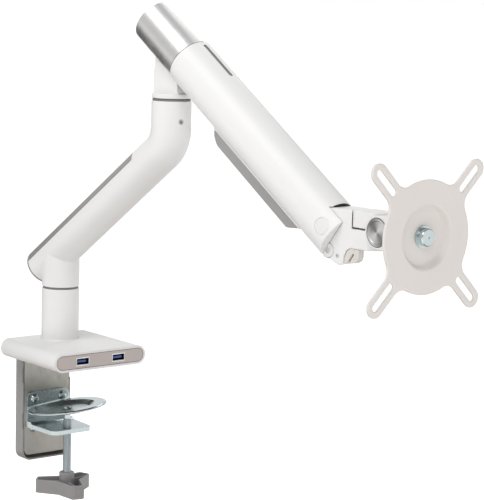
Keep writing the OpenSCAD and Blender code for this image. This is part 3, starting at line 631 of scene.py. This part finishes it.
def add_frame(name, finish, slot_name, middle, size, corner, width, depth):
    """A flat ring on the base, round a rounded rectangle that faces -Y; size and corner are its outside."""
    steps, sharpest = 40, 0.1 * MM
    bm = bmesh.new()
    loops = []
    for inset, y in ((0, 0), (0, -depth), (width, -depth), (width, 0)):
        r = max(corner - inset, sharpest)
        reach = (size[0] / 2 - inset - r, size[1] / 2 - inset - r)
        loop = []
        for k in range(steps):
            turn = 2 * math.pi * (k + 0.5) / steps
            x = math.copysign(reach[0], math.cos(turn)) + r * math.cos(turn)
            z = math.copysign(reach[1], math.sin(turn)) + r * math.sin(turn)
            loop.append(bm.verts.new(Vector(middle) + Vector((x, y, z))))
        loops.append(loop)
    join_loops(bm, loops + loops[:1])
    add_piece(name, bm, "base", finish)


def add_front_trim():
    """The plated rims of the data ports, and the dark joint round their panel."""
    low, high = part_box("usb_panel")
    root, gap = 0.1 * MM, 0.5 * MM
    front = low[1] + root
    rim = {"size": (14.3 * MM, 7.6 * MM), "corner": 0.5 * MM, "width": 0.6 * MM, "depth": 0.25 * MM}
    for side, name in ((-1, "left"), (1, "right")):
        middle = (side * PORT_X, front, middle_height("usb_shells"))
        add_frame(f"usb_rim_{name}", "bright", "steel", middle, **rim)
    size = (high[0] - low[0] + gap, high[2] - low[2] + gap)
    joint_line = {"size": size, "corner": size[1] / 2 - 0.01 * MM, "width": 0.65 * MM, "depth": 0.14 * MM}
    middle = (0, front, middle_height("usb_panel"))
    add_frame("panel_joint", "seam", "dark_plastic", middle, **joint_line)


def add_cap_outlines():
    """The dark joint round the turned cap on each side of the tilt axis."""
    low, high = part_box("tilt_caps")
    inner, outer, deep, proud = 11.1 * MM, 11.7 * MM, 0.2 * MM, 0.03 * MM
    for side, x, name in ((-1, low[0], "left"), (1, high[0], "right")):
        outwards = Matrix.Rotation(math.radians(90 * side), 4, "Y")
        bm = bmesh.new()
        place = Matrix.Translation((x, TILT_PIVOT.y, TILT_PIVOT.z)) @ outwards
        lathe(bm, box_section(inner, outer, -deep, proud), 96, place)
        add_piece(f"tilt_cap_joint_{name}", bm, "tilt_bracket", "seam")


# in mm: across, height and radius of each screw's head
BOLT_HEADS = {"left": (-15.6, -43, 4.5), "right": (15.6, -43, 4.5), "middle": (-4, -58, 2.8)}


def add_flange_bolts():
    """Domed heads on the screws that hold the bracket to the clamp plate."""
    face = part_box("clamp_bracket")[1][1] - FLANGE_THICKNESS
    forwards = Matrix.Rotation(math.radians(90), 4, "X")
    steps, tip, flatness = 8, 0.05, 0.62
    for name, (x, z, size) in BOLT_HEADS.items():
        outline = [(tip * MM, 0)]
        for k in range(steps + 1):
            turn = math.radians(90 - 90 * k / steps)
            outline.append((max(size * math.cos(turn), tip) * MM, size * flatness * math.sin(turn) * MM))
        bm = bmesh.new()
        lathe(bm, outline, 40, Matrix.Translation((x * MM, face, z * MM)) @ forwards)
        add_piece(f"bolt_head_{name}", bm, "base", "zinc", 60)


def add_cover_seams():
    """The dark parting lines along both edges of the lower cable cover."""
    proud, sunk_part = 0.04 * MM, 0.03
    r = SLOPE_RADIUS + proud
    bottom, top = 6.8 * MM, 7.25 * MM
    lower_end, upper_end = 30 * MM, -149 * MM
    for side, name in ((-1, "left"), (1, "right")):
        bm = bmesh.new()
        corners = []
        for z in (bottom, top):
            x = side * math.sqrt(r * r - z * z)
            corners += [(x * (1 - sunk_part), z), (x, z)]
        order = (corners[0], corners[1], corners[3], corners[2])
        ends = []
        for y in (lower_end, upper_end):
            ends.append([bm.verts.new(SLOPE_FRAME @ Vector((x, y, z))) for x, z in order])
            bm.faces.new(ends[-1])
        join_loops(bm, ends)
        add_piece(f"cover_seam_{name}", bm, "lower_arm", "seam")


def add_details():
    """The pieces that show what the CAD model leaves plain."""
    add_clamp_screw()
    add_usb_tongues()
    add_front_trim()
    add_flange_bolts()
    add_cap_outlines()
    add_cover_seams()
    add_sleeve_seam()


# ---------------------------------------------------------------- the scene

add_camera()
add_studio()
finishes = make_finishes()
dress_nodes(finishes)
soften_nodes()
add_details()

bpy.context.view_layer.update()
